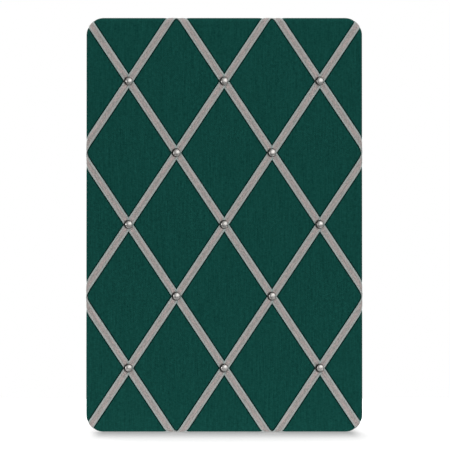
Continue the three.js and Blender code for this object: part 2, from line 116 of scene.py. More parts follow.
def latticeCoords(x, z):
    # u counts falling ribbons and v rising ones: x = diamondX (u + v), z = diamondZ (u - v)
    return (x / diamondX + z / diamondZ) / 2, (x / diamondX - z / diamondZ) / 2


def nearestLine(count):
    return np.clip(np.round(count), -lattice["lines"], lattice["lines"])


def lineDistance(count):
    # distance from the middle of the nearest ribbon that counts to it
    return np.abs(count - nearestLine(count)) * lineSpacing


def outlineInside(x, z, halfX=startX, halfZ=startZ, corner=startCorner):
    # distance inside a rounded rectangle, and the way out of it
    overX = np.abs(x) - halfX + corner
    overZ = np.abs(z) - halfZ + corner
    outX, outZ = np.maximum(overX, 0), np.maximum(overZ, 0)
    inside = corner - np.hypot(outX, outZ) - np.minimum(np.maximum(overX, overZ), 0)
    size = np.maximum(np.hypot(outX, outZ), 1e-9)
    return inside, np.sign(x) * outX / size, np.sign(z) * outZ / size


def edgePress(x, z):
    # depth that the ribbons press into the rolled edge, from places on the unrolled cloth
    flat = lattice["ribbonWide"] / 2 + lattice["edgeMargin"]
    return sum(lattice["edgeSink"] * (1 - ease(flat, flat + lattice["edgeSlope"], lineDistance(count)))
               for count in latticeCoords(x, z))


def edgeDepth(x, z, run):
    # the same, gone before the straight side ends
    return edgePress(x, z) * (1 - ease(rollRun + lattice["fadeFrom"], sideRun - lattice["fadeTo"], run))


def faceSink(x, z):
    # depth of the padded face: each ribbon presses a groove that recovers as 1 - exp(-distance / reach),
    # and each tack adds a round dimple exp(-(distance / reach)^2); both fade out towards the rolled edge
    u, v = latticeCoords(x, z)
    flat = lattice["ribbonWide"] / 2 + lattice["grooveMargin"]
    besideU, besideV = (np.maximum(lineDistance(count) - flat, 0) / lattice["pressReach"] for count in (u, v))
    press = 1 - (1 - np.exp(-besideU)) * (1 - np.exp(-besideV))
    nearU, nearV = nearestLine(u), nearestLine(v)
    tackX, tackZ = diamondX * (nearU + nearV), diamondZ * (nearU - nearV)
    dimple = np.exp(-((x - tackX) ** 2 + (z - tackZ) ** 2) / lattice["dimpleReach"] ** 2)
    inside = outlineInside(x, z)[0]
    crown = lattice["crownSink"] * ease(0, lattice["crownRise"], inside)
    groove = (lattice["ribbonSink"] - lattice["crownSink"]) * press
    groove = groove + (lattice["tackSink"] - lattice["ribbonSink"]) * dimple
    fromEdge = ease(0, lattice["edgeFade"], inside)
    return crown + groove * fromEdge + edgePress(x, z) * (1 - fromEdge)


def edgeRuns(steps, end):
    # lengths along the cloth in even steps down the roll, the side, the turn and on behind
    marks = (0, rollRun, sideRun, turnRun, end)
    return np.concatenate([np.linspace(low, high, count + 1)[1:]
                           for low, high, count in zip(marks, marks[1:], steps)])


def edgeProfile(run, offset):
    # section of the covered edge at a length along the cloth: quarter roll, straight side, small turn,
    # flat back
    roll, turn = panel["roll"], panel["turn"]
    rollAngle, turnAngle = run / roll, (run - sideRun) / turn
    where = [run < rollRun, run < sideRun, run < turnRun]
    out = np.select(where, [
        (roll + offset) * np.sin(rollAngle),
        roll + offset + 0 * run,
        roll - turn + (turn + offset) * np.cos(turnAngle),
    ], roll - turn - (run - turnRun))
    y = np.select(where, [
        panel["rollY"] - (roll + offset) * np.cos(rollAngle),
        panel["rollY"] + run - rollRun,
        panel["sideY"] + (turn + offset) * np.sin(turnAngle),
    ], panel["backY"] + offset)
    return out, y


def roundedGrid(halfX, halfZ, corner, step):
    # even grid over a rectangle; each corner square is pressed into a quarter disc by
    # x sqrt(1 - z^2 / 2) and z sqrt(1 - x^2 / 2), so that the rim is the rounded outline
    countX, countZ = (int(round(2 * half / step)) + 1 for half in (halfX, halfZ))
    gridX, gridZ = np.meshgrid(np.linspace(-halfX, halfX, countX), np.linspace(-halfZ, halfZ, countZ))
    inX = np.clip((np.abs(gridX) - halfX + corner) / corner, 0, 1)
    inZ = np.clip((np.abs(gridZ) - halfZ + corner) / corner, 0, 1)
    x = np.minimum(np.abs(gridX), halfX - corner) + corner * inX * np.sqrt(1 - inZ**2 / 2)
    z = np.minimum(np.abs(gridZ), halfZ - corner) + corner * inZ * np.sqrt(1 - inX**2 / 2)
    index = np.arange(gridX.size).reshape(gridX.shape)
    loop = np.concatenate([index[0, :-1], index[:-1, -1], index[-1, :0:-1], index[:0:-1, 0]])
    return (np.sign(gridX) * x).ravel(), (np.sign(gridZ) * z).ravel(), index, loop


def gridIndex(points):
    # vertex numbers of a grid of points, row by row
    return np.arange(points.shape[0] * points.shape[1]).reshape(points.shape[:2])


def gridFaces(index):
    # quads over a grid of vertex numbers, anticlockwise seen from the front
    return np.stack([index[:-1, :-1], index[:-1, 1:], index[1:, 1:], index[1:, :-1]], -1).reshape(-1, 4)


def skirtFaces(loop, first, rows):
    # quads from a closed rim down through rows of new vertices, numbered from first
    rings = np.concatenate([loop[None], first + np.arange(rows * len(loop)).reshape(rows, -1)])
    rings = np.concatenate([rings, rings[:, :1]], 1)
    return np.stack([rings[:-1, :-1], rings[1:, :-1], rings[1:, 1:], rings[:-1, 1:]], -1).reshape(-1, 4)


def makePiece(node, finish, points, faces, material, body="panel", uv=None, closed=True, sharp=None):
    # dresses a node: points are millimetres from the hooks' midpoint, uv millimetres along the cloth, sharp
    # degrees
    name = f"{node}_{finish}"
    mesh = bpy.data.meshes.new(name)
    mesh.from_pydata((points.reshape(-1, 3) * mm).tolist(), [], faces.tolist())
    if uv is not None:
        corners = np.empty(len(mesh.loops), int)
        mesh.loops.foreach_get("vertex_index", corners)
        mesh.uv_layers.new(name="along").data.foreach_set("uv", (uv[corners] * mm).ravel())
    if closed:  # poles and seams are merged, then the skin is turned outwards
        shell = bmesh.new()
        shell.from_mesh(mesh)
        bmesh.ops.remove_doubles(shell, verts=shell.verts, dist=weld)
        bmesh.ops.dissolve_degenerate(shell, edges=shell.edges, dist=weld / 10)
        bmesh.ops.recalc_face_normals(shell, faces=shell.faces)
        shell.to_mesh(mesh)
        shell.free()
    mesh.polygons.foreach_set("use_smooth", np.ones(len(mesh.polygons), bool))
    if sharp:
        mesh.set_sharp_from_angle(angle=math.radians(sharp))
    mesh.materials.append(material)
    piece = bpy.data.objects.new(name, mesh)
    bpy.context.scene.collection.objects.link(piece)
    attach(piece, body)
    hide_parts(node)
    return piece


def thicken(piece, thick, offset=-1.0):
    wall = piece.modifiers.new("thickness", "SOLIDIFY")
    wall.thickness, wall.offset = thick * mm, offset


def turned(profile, segments):
    # a profile of radius and height carried round the Y axis: a grid of points, and its quads
    angle = np.linspace(0, 2 * math.pi, segments + 1)
    radius, height = np.array(profile).T
    points = np.stack([
        np.outer(radius, np.cos(angle)),
        np.outer(height, np.ones(segments + 1)),
        np.outer(radius, np.sin(angle)),
    ], -1)
    return points, gridFaces(gridIndex(points))


def nodeBox(node):
    # a node's two corners in millimetres
    return [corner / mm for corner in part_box(node)]


def addNode(tree, kind, inputs=None, **settings):
    node = tree.nodes.new(kind)
    for key, value in settings.items():
        setattr(node, key, value)
    for key, value in (inputs or {}).items():
        if isinstance(value, bpy.types.NodeSocket):
            tree.links.new(value, node.inputs[key])
        else:
            node.inputs[key].default_value = value
    return node


def calc(tree, operation, first, second=0.0, third=0.0):
    return addNode(tree, "ShaderNodeMath", {0: first, 1: second, 2: third}, operation=operation).outputs[0]


def vectorCalc(tree, operation, first, second):
    return addNode(tree, "ShaderNodeVectorMath", {0: first, 1: second}, operation=operation).outputs[0]


def axesOf(tree, place):
    return addNode(tree, "ShaderNodeSeparateXYZ", {0: place}).outputs


def joined(tree, x, y, z):
    return addNode(tree, "ShaderNodeCombineXYZ", {0: x, 1: y, 2: z}).outputs[0]


def mixColour(tree, share, first, second):
    return addNode(tree, "ShaderNodeMix", {0: share, 6: first, 7: second}, data_type="RGBA").outputs[2]


def remap(tree, value, low, high, toLow=0.0, toHigh=1.0):
    inputs = {"Value": value, "From Min": low, "From Max": high, "To Min": toLow, "To Max": toHigh}
    return addNode(tree, "ShaderNodeMapRange", inputs).outputs[0]


def noise(tree, place, scale, detail, distortion=0.0):
    inputs = {"Vector": place, "Scale": scale, "Detail": detail, "Distortion": distortion}
    return addNode(tree, "ShaderNodeTexNoise", inputs).outputs


def perSize(tree, size):
    # scale for features of a size in millimetres
    return calc(tree, "DIVIDE", 1 / mm, size)


def newGroup(name, inputs, outputs):
    # inputs are labels with their usual values, or None for a vector
    tree = bpy.data.node_groups.new(name, "ShaderNodeTree")
    for label, value in inputs.items():
        kind = "NodeSocketVector" if value is None else "NodeSocketFloat"
        socket = tree.interface.new_socket(label, in_out="INPUT", socket_type=kind)
        if value is not None:
            socket.default_value = value
    for label in outputs:
        tree.interface.new_socket(label, in_out="OUTPUT", socket_type="NodeSocketFloat")
    return tree, tree.nodes.new("NodeGroupInput").outputs, tree.nodes.new("NodeGroupOutput").inputs


def putOut(tree, sockets, *values):
    for socket, value in zip(sockets, values):
        tree.links.new(value, socket)


def useGroup(tree, group, inputs):
    return addNode(tree, "ShaderNodeGroup", inputs, node_tree=group).outputs


def linear(red, green, blue):
    # sRGB bytes as written in a colour picker, to a linear colour
    share = [value / 255 for value in (red, green, blue)]
    return tuple(s / 12.92 if s <= 0.04045 else ((s + 0.055) / 1.055) ** 2.4 for s in share) + (1.0,)


def newMaterial(name, **sockets):
    material = bpy.data.materials.new(name)
    material.use_nodes = True
    shader = material.node_tree.nodes["Principled BSDF"]
    for key, value in sockets.items():
        shader.inputs[key.replace("_", " ")].default_value = value
    return material, material.node_tree


def objectPlace(tree):
    return addNode(tree, "ShaderNodeTexCoord").outputs["Object"]


def alongCloth(tree):
    return addNode(tree, "ShaderNodeUVMap", uv_map="along").outputs[0]


def finishLook(material, look, tone, height, rough=None):
    # colour, relief and, where it varies, roughness into the material's shader
    tree = material.node_tree
    relief = {"Strength": look["bump"], "Distance": look["depth"] * mm, "Height": height}
    bump = addNode(tree, "ShaderNodeBump", relief).outputs[0]
    for label, value in (("Base Color", tone), ("Normal", bump), ("Roughness", rough)):
        if value is not None:
            tree.links.new(value, tree.nodes["Principled BSDF"].inputs[label])
    return material


def makeWeave():
    # plain weave: warp and weft threads with round backs |sin| that take turns on top where the two waves
    # agree, each dyed a little differently along its length; pitches and yarn lengths in millimetres
    yarn = {"strayScale": 0.35, "detail": 2.0, "swap": 0.25, "threadGap": 3.7, "weftSeed": 40.0,
            "dyeLow": 0.25, "dyeHigh": 0.75}
    tree, given, out = newGroup("plainWeave", {
        "Vector": None, "Warp Pitch": 0.6, "Weft Pitch": 0.6,
        "Warp Length": 20.0, "Weft Length": 20.0, "Waver": 0.15,
    }, ["Height", "Yarn"])
    inMm = vectorCalc(tree, "MULTIPLY", given[0], (1 / mm, 1 / mm, 1 / mm))
    stray = noise(tree, inMm, yarn["strayScale"], yarn["detail"])["Color"]
    strayed = vectorCalc(tree, "SUBTRACT", stray, (0.5, 0.5, 0.5))
    pulled = addNode(tree, "ShaderNodeVectorMath", {0: strayed, "Scale": given[5]}, operation="SCALE")
    axes = axesOf(tree, vectorCalc(tree, "ADD", inMm, pulled.outputs[0]))
    counts = [calc(tree, "DIVIDE", axes[i], given[1 + i]) for i in (0, 1)]
    waves = [calc(tree, "SINE", calc(tree, "MULTIPLY", count, math.pi)) for count in counts]
    onTop = remap(tree, calc(tree, "MULTIPLY", waves[0], waves[1]), -yarn["swap"], yarn["swap"])
    under = calc(tree, "SUBTRACT", 1.0, onTop)
    backs = [calc(tree, "ABSOLUTE", wave) for wave in waves]
    dyes = []
    for i in (0, 1):
        number = calc(tree, "MULTIPLY", calc(tree, "FLOOR", counts[i]), yarn["threadGap"])
        onward = calc(tree, "DIVIDE", axes[1 - i], given[3 + i])
        dye = noise(tree, joined(tree, number, onward, yarn["weftSeed"] * i), 1.0, yarn["detail"])[0]
        dyes.append(remap(tree, dye, yarn["dyeLow"], yarn["dyeHigh"]))
    putOut(tree, out, *(calc(tree, "MULTIPLY_ADD", warp, onTop, calc(tree, "MULTIPLY", weft, under))
                        for warp, weft in (backs, dyes)))
    return tree


def makeStreaks():
    # yarn streaks: noise drawn out along the threads; width and length in millimetres
    drawn = {"detail": 2.0, "low": 0.25, "high": 0.75}
    tree, given, out = newGroup("yarnStreaks", {"Vector": None, "Wide": 1.0, "Long": 30.0}, ["Streak"])
    stretch = joined(tree, perSize(tree, given[1]), perSize(tree, given[2]), 1.0)
    streak = noise(tree, vectorCalc(tree, "MULTIPLY", given[0], stretch), 1.0, drawn["detail"])[0]
    putOut(tree, out, remap(tree, streak, drawn["low"], drawn["high"]))
    return tree


def makeHandled():
    # handling marks: cloudy smears and fine scratches for metals, sizes in millimetres
    mark = {"smearDetail": 4.0, "turn": (0.4, 0.9, 0.3), "stretch": (1.0, 1.0, 0.06), "scratchDetail": 3.0,
            "low": 0.35, "high": 0.65}
    tree, given, out = newGroup("handlingMarks", {"Vector": None, "Smear Size": 6.0, "Scratch Size": 0.5},
                                ["Smear", "Scratch"])
    smear = noise(tree, given[0], perSize(tree, given[1]), mark["smearDetail"])[0]
    slanted = addNode(tree, "ShaderNodeMapping",
                      {"Vector": given[0], "Rotation": mark["turn"], "Scale": mark["stretch"]}).outputs[0]
    scratch = noise(tree, slanted, perSize(tree, given[2]), mark["scratchDetail"])[0]
    putOut(tree, out, smear, remap(tree, scratch, mark["low"], mark["high"]))
    return tree


def makeMatted():
    # felt: matted fibre noise at two sizes, in millimetres
    mat = {"fibreDetail": 5.0, "tangle": 1.6, "clumpDetail": 3.0, "low": 0.3, "high": 0.7}
    tree, given, out = newGroup("mattedFibre", {"Vector": None, "Fibre Size": 0.8, "Clump Size": 12.0},
                                ["Fibre", "Clump"])
    fibre = noise(tree, given[0], perSize(tree, given[1]), mat["fibreDetail"], mat["tangle"])[0]
    clump = noise(tree, given[0], perSize(tree, given[2]), mat["clumpDetail"])[0]
    putOut(tree, out, *(remap(tree, value, mat["low"], mat["high"]) for value in (fibre, clump)))
    return tree


def makeTackDistance():
    # distance in millimetres from the nearest tack, the crossing with whole u and v that are within the
    # face, or from a point that is shifted from it
    within = {"from": 2.4, "to": 2.6, "none": 99.0}  # crossings past the second row or column have no tack
    tree, given, out = newGroup("tackDistance", {"Vector": None, "Shift": None}, ["Distance"])
    axes = axesOf(tree, given[0])
    across = calc(tree, "DIVIDE", axes[0], diamondX * mm)
    upward = calc(tree, "DIVIDE", calc(tree, "ADD", axes[2], -panel["centreZ"] * mm), diamondZ * mm)
    nearU, nearV = (calc(tree, "ROUND", calc(tree, "DIVIDE", calc(tree, way, across, upward), 2.0))
                    for way in ("ADD", "SUBTRACT"))
    sideX, sideZ = calc(tree, "ADD", nearU, nearV), calc(tree, "SUBTRACT", nearU, nearV)
    offX = calc(tree, "MULTIPLY", calc(tree, "SUBTRACT", across, sideX), diamondX)
    offZ = calc(tree, "MULTIPLY", calc(tree, "SUBTRACT", upward, sideZ), diamondZ)
    beyond = calc(tree, "MAXIMUM", calc(tree, "ABSOLUTE", sideX), calc(tree, "ABSOLUTE", sideZ))
    offY = remap(tree, beyond, within["from"], within["to"], 0.0, within["none"])
    offset = vectorCalc(tree, "SUBTRACT", joined(tree, offX, offY, offZ), given[1])
    length = addNode(tree, "ShaderNodeVectorMath", {0: offset}, operation="LENGTH").outputs["Value"]
    putOut(tree, out, length)
    return tree


weave, streaks, handled, matted, tackRing = (
    makeWeave(), makeStreaks(), makeHandled(), makeMatted(), makeTackDistance()
)


def wovenYarn(tree, look):
    # threads with streaks drawn along them: place on the cloth, height and dye of the threads, and the dye
    # of threads and streaks together
    along = alongCloth(tree)
    threads = useGroup(tree, weave, {
        "Vector": along, "Warp Pitch": look["pitch"][0], "Weft Pitch": look["pitch"][1],
        "Warp Length": look["long"][0], "Weft Length": look["long"][1], "Waver": look["waver"],
    })
    wide, long = look["streak"]
    streak = useGroup(tree, streaks, {"Vector": along, "Wide": wide, "Long": long})[0]
    mixed = calc(tree, "MULTIPLY_ADD", threads[1], look["shares"][0],
                 calc(tree, "MULTIPLY", streak, look["shares"][1]))
    return along, threads[0], threads[1], mixed


def shadeGaps(tree, look, tone, height):
    # painted shade: darker between the threads
    return mixColour(tree, remap(tree, height, 0.0, look["gapTo"], look["gapShade"], 0.0), tone, look["gapShadow"])


def greenLinen():
    look = {
        "dark": linear(4, 50, 45), "light": linear(30, 94, 85), "tone": (0.06, 0.94),
        "pitch": (0.66, 0.74), "long": (38.0, 4.5), "waver": 0.3,  # warp and weft
        "streak": (2.7, 5.0), "shares": (0.74, 0.26),  # slubs, and how much of the tone is yarn and slub
        # painted shade between the threads and beside the ribbons
        "gapShadow": linear(3, 23, 20), "gapTo": 0.6, "gapShade": 0.6,
        "creaseShadow": (0.8, 2.5), "creaseShade": 0.88,  # painted shadow in the pressed cloth beside a ribbon's edge
        "yarnRise": 0.5, "bump": 0.8, "depth": 0.3,
    }
    material, tree = newMaterial("greenLinen", Roughness=0.92, Specular_IOR_Level=0.02)
    along, height, dye, mixed = wovenYarn(tree, look)
    tone = mixColour(tree, remap(tree, mixed, *look["tone"]), look["dark"], look["light"])
    tone = shadeGaps(tree, look, tone, height)
    across, upward = (calc(tree, "DIVIDE", axis, 2 * diamond * mm)
                      for axis, diamond in zip(axesOf(tree, along), (diamondX, diamondZ)))
    # painted shadow along both edges of every ribbon
    creaseShadow = 0.0
    for way in ("ADD", "SUBTRACT"):
        count = calc(tree, way, across, upward)
        nearest = calc(tree, "MINIMUM", calc(tree, "ROUND", count), lattice["lines"])
        nearest = calc(tree, "MAXIMUM", nearest, -lattice["lines"])
        off = calc(tree, "ABSOLUTE", calc(tree, "SUBTRACT", count, nearest))
        beside = calc(tree, "MULTIPLY_ADD", off, lineSpacing, -lattice["ribbonWide"] / 2)
        creaseShadow = calc(tree, "MAXIMUM", creaseShadow, remap(tree, beside, *look["creaseShadow"], look["creaseShade"], 0.0))
    tone = mixColour(tree, creaseShadow, tone, look["gapShadow"])
    return finishLook(material, look, tone, calc(tree, "MULTIPLY_ADD", dye, look["yarnRise"], height))


def taupeRibbon():
    look = {
        "colour": linear(168, 164, 161), "pink": linear(199, 177, 174), "ash": linear(129, 129, 124),
        "plain": 0.5, "pinkest": 0.66, "ashen": 0.32,  # yarn and blush at which it has these colours
        "pitch": (0.42, 0.6), "long": (4.2, 2.4), "waver": 0.12,  # warp and rib
        "streak": (1.6, 34.0), "shares": (0.7, 0.3),  # blush, and how much of the tone is yarn and blush
        "edge": linear(168, 184, 181), "edgeFade": (0.5, 0.78), "edgeShare": 0.85,
        # painted shade between the threads
        "gapShadow": linear(107, 102, 99), "gapTo": 0.5, "gapShade": 0.4,
        "tackShadow": linear(38, 34, 31), "ring": (5.9, 7.3), "ringShade": 0.93,  # painted shadow round each tack's rim
        # the painted shadow's centre is shifted to the left, away from the light
        "tackShadowShift": (-0.9, 0.0, 0.15), "rough": (0.72, 0.55), "bump": 0.8, "depth": 0.2,
    }
    material, tree = newMaterial("taupeRibbon", Specular_IOR_Level=0.25)
    along, height, _, mixed = wovenYarn(tree, look)
    tone = mixColour(tree, remap(tree, mixed, look["plain"], look["pinkest"]), look["colour"], look["pink"])
    tone = mixColour(tree, remap(tree, mixed, look["plain"], look["ashen"]), tone, look["ash"])
    halfWide = lattice["ribbonWide"] / 2 * mm
    side = calc(tree, "DIVIDE", calc(tree, "ABSOLUTE", axesOf(tree, along)[0]), halfWide)
    side = remap(tree, side, *look["edgeFade"], 0.0, look["edgeShare"])
    tone = shadeGaps(tree, look, mixColour(tree, side, tone, look["edge"]), height)
    # painted shadow round each tack, thicker on the left, away from the light
    fromTack = useGroup(tree, tackRing, {"Vector": objectPlace(tree), "Shift": look["tackShadowShift"]})[0]
    tackShadowShare = remap(tree, fromTack, *look["ring"], look["ringShade"], 0.0)
    tone = mixColour(tree, tackShadowShare, tone, look["tackShadow"])
    return finishLook(material, look, tone, height, remap(tree, height, 0.0, 1.0, *look["rough"]))


def bareMetal(name, look, rim=None):
    mark = {"scratch": 0.35, "dull": (0.35, 0.7), "rough": (0.3, 0.7), "scratchRough": 0.05}
    material, tree = newMaterial(name, Metallic=1.0)
    place = objectPlace(tree)
    smear, scratch = useGroup(tree, handled, {
        "Vector": place, "Smear Size": look["smear"], "Scratch Size": mark["scratch"],
    })
    tone = mixColour(tree, remap(tree, smear, *mark["dull"]), look["colour"], look["dull"])
    if rim:  # the foot of a dome: dust and tarnish, darkened more on one side as painted shade and reflection
        outward = useGroup(tree, tackRing, {"Vector": place, "Shift": rim["shift"]})[0]
        tone = mixColour(tree, remap(tree, outward, *rim["reach"]), tone, rim["tarnishAndShade"])
    rough = remap(tree, smear, *mark["rough"], *look["rough"])
    rough = calc(tree, "ADD", rough, calc(tree, "MULTIPLY", scratch, mark["scratchRough"]))
    return finishLook(material, look, tone, scratch, rough)


def fuzzIn(tree, look):
    return useGroup(tree, matted, {
        "Vector": objectPlace(tree), "Fibre Size": look["fibre"], "Clump Size": look["clump"],
    })


def charcoalFelt():
    look = {"colour": linear(72, 73, 76), "light": linear(108, 109, 112), "dark": linear(50, 51, 54),
            "fibre": 0.9, "clump": 9.0, "darken": (0.1, 0.9, 0.0, 0.5), "lighten": (0.45, 1.0, 0.0, 0.75),
            "bump": 0.6, "depth": 0.4}
    material, tree = newMaterial("charcoalFelt", Roughness=1.0, Specular_IOR_Level=0.1)
    fibre, clump = fuzzIn(tree, look)
    tone = mixColour(tree, remap(tree, clump, *look["darken"]), look["colour"], look["dark"])
    tone = mixColour(tree, remap(tree, fibre, *look["lighten"]), tone, look["light"])
    return finishLook(material, look, tone, fibre)


def softRubber():
    look = {"colour": linear(52, 53, 55), "bloom": linear(84, 85, 86), "bloomShare": 0.5,
            "fibre": 0.4, "clump": 3.0, "rough": (0.6, 0.85), "bump": 0.25, "depth": 0.05}
    material, tree = newMaterial("softRubber")
    fibre, clump = fuzzIn(tree, look)
    tone = mixColour(tree, calc(tree, "MULTIPLY", clump, look["bloomShare"]), look["colour"], look["bloom"])
    return finishLook(material, look, tone, fibre, remap(tree, clump, 0.0, 1.0, *look["rough"]))


def looseFibre(name, look, **sockets):
    material, tree = newMaterial(name, **sockets)
    fibre = fuzzIn(tree, look)[0]
    return finishLook(material, look, mixColour(tree, fibre, look["colour"], look["shade"]), fibre)


linen, ribbonWeave, felt, rubber = greenLinen(), taupeRibbon(), charcoalFelt(), softRubber()
fibreboard = looseFibre("woodFibre", {
    "colour": linear(150, 116, 78), "shade": linear(112, 84, 54),
    "fibre": 1.6, "clump": 30.0, "bump": 0.3, "depth": 0.2,
}, Roughness=0.9)
fluff = looseFibre("whiteWadding", {
    "colour": linear(240, 238, 230), "shade": linear(214, 212, 204),
    "fibre": 2.0, "clump": 18.0, "bump": 0.6, "depth": 0.8,
}, Roughness=1.0, Specular_IOR_Level=0.1)
# its rim's dark band is shifted to one side: painted shade and reflection over tarnish
nickel = bareMetal("polishedNickel", {
    "colour": (0.58, 0.56, 0.54, 1), "dull": (0.48, 0.46, 0.44, 1),
    "rough": (0.28, 0.36), "smear": 4.0, "bump": 0.05, "depth": 0.01,
}, {"reach": (5.0, 5.9), "shift": (0.9, 0.0, -0.15), "tarnishAndShade": (0.02, 0.019, 0.018, 1)})
steel = bareMetal("platedSteel", {
    "colour": (0.54, 0.55, 0.57, 1), "dull": (0.34, 0.35, 0.36, 1),
    "rough": (0.2, 0.36), "smear": 5.0, "bump": 0.3, "depth": 0.01,
})
print("stage: materials made")

for name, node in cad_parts.items():  # the board and the staples keep their solids
    if name == "backing_board":
        node.data.materials[0] = fibreboard
    if name.startswith("staple_"):
        node.data.materials[0] = steel


def makeCover():
    # the padded face over its grid, and from each point of its rim the section of the covered edge
    cover = {"step": 3.0, "edgeSteps": (12, 6, 4, 7), "hem": 17.0, "thick": 0.7,
             "pleat": 0.8, "pleats": 5, "pleatRise": 5.0, "pleatSpread": 4.0}
    x, z, index, loop = roundedGrid(startX, startZ, startCorner, cover["step"])
    face = np.stack([x, panel["frontY"] + faceSink(x, z), z], -1)
    run = edgeRuns(cover["edgeSteps"], turnRun + cover["hem"] - panel["turn"])
    rimX, rimZ = x[loop], z[loop]
    wayX, wayZ = outlineInside(rimX, rimZ)[1:]
    flatX, flatZ = rimX + np.outer(run, wayX), rimZ + np.outer(run, wayZ)
    out, y = edgeProfile(run[:, None] + 0 * flatX, -edgeDepth(flatX, flatZ, run[:, None]))
    # behind, the spare cloth of each corner is laid in pleats that stand up as cos^2 round the corner
    corner = np.minimum(cover["pleatSpread"] * np.abs(wayX * wayZ), 1)
    fold = np.cos(cover["pleats"] * np.arctan2(np.abs(wayZ), np.abs(wayX)) * 2) ** 2
    pleat = cover["pleat"] * np.outer(ease(turnRun, turnRun + cover["pleatRise"], run), corner * fold)
    skirt = np.stack([rimX + out * wayX, y + pleat, rimZ + out * wayZ], -1)
    points = np.concatenate([face, skirt.reshape(-1, 3)]) + centred
    uv = np.concatenate([np.stack([x, z], -1), np.stack([flatX, flatZ], -1).reshape(-1, 2)])
    faces = np.concatenate([gridFaces(index), skirtFaces(loop, len(x), len(run))])
    piece = makePiece("cloth_cover", "linen", points, faces, linen, uv=uv, closed=False)
    thicken(piece, cover["thick"])


def makeWadding():
    # the cloth's face and roll again, just under it, closed by a flat back that is the same grid drawn out
    pad = {"step": 6.0, "rollSteps": 6, "under": 0.9, "backY": -20.1, "fill": 0.7}
    x, z, index, loop = roundedGrid(startX, startZ, startCorner, pad["step"])
    top = np.stack([x, panel["frontY"] + pad["under"] + faceSink(x, z), z], -1)
    run = np.linspace(0, rollRun, pad["rollSteps"] + 1)[1:, None]
    rimX, rimZ = x[loop], z[loop]
    wayX, wayZ = outlineInside(rimX, rimZ)[1:]
    flatX, flatZ = rimX + run * wayX, rimZ + run * wayZ
    out, y = edgeProfile(run + 0 * flatX, -pad["under"] - edgeDepth(flatX, flatZ, run))
    side = np.stack([rimX + out * wayX, y, rimZ + out * wayZ], -1)
    growX, growZ = ((start + panel["roll"] - pad["under"]) / start for start in (startX, startZ))
    back = np.stack([x * growX, np.full(len(x), pad["backY"]), z * growZ], -1)
    back[loop] = side[-1]
    points = np.concatenate([top, side.reshape(-1, 3), back]) + centred
    faces = np.concatenate([gridFaces(index), skirtFaces(loop, len(x), len(run)),
                            gridFaces(index)[:, ::-1] + len(points) - len(back)])
    piece = makePiece("wadding_pad", "fluff", points, faces, fluff)


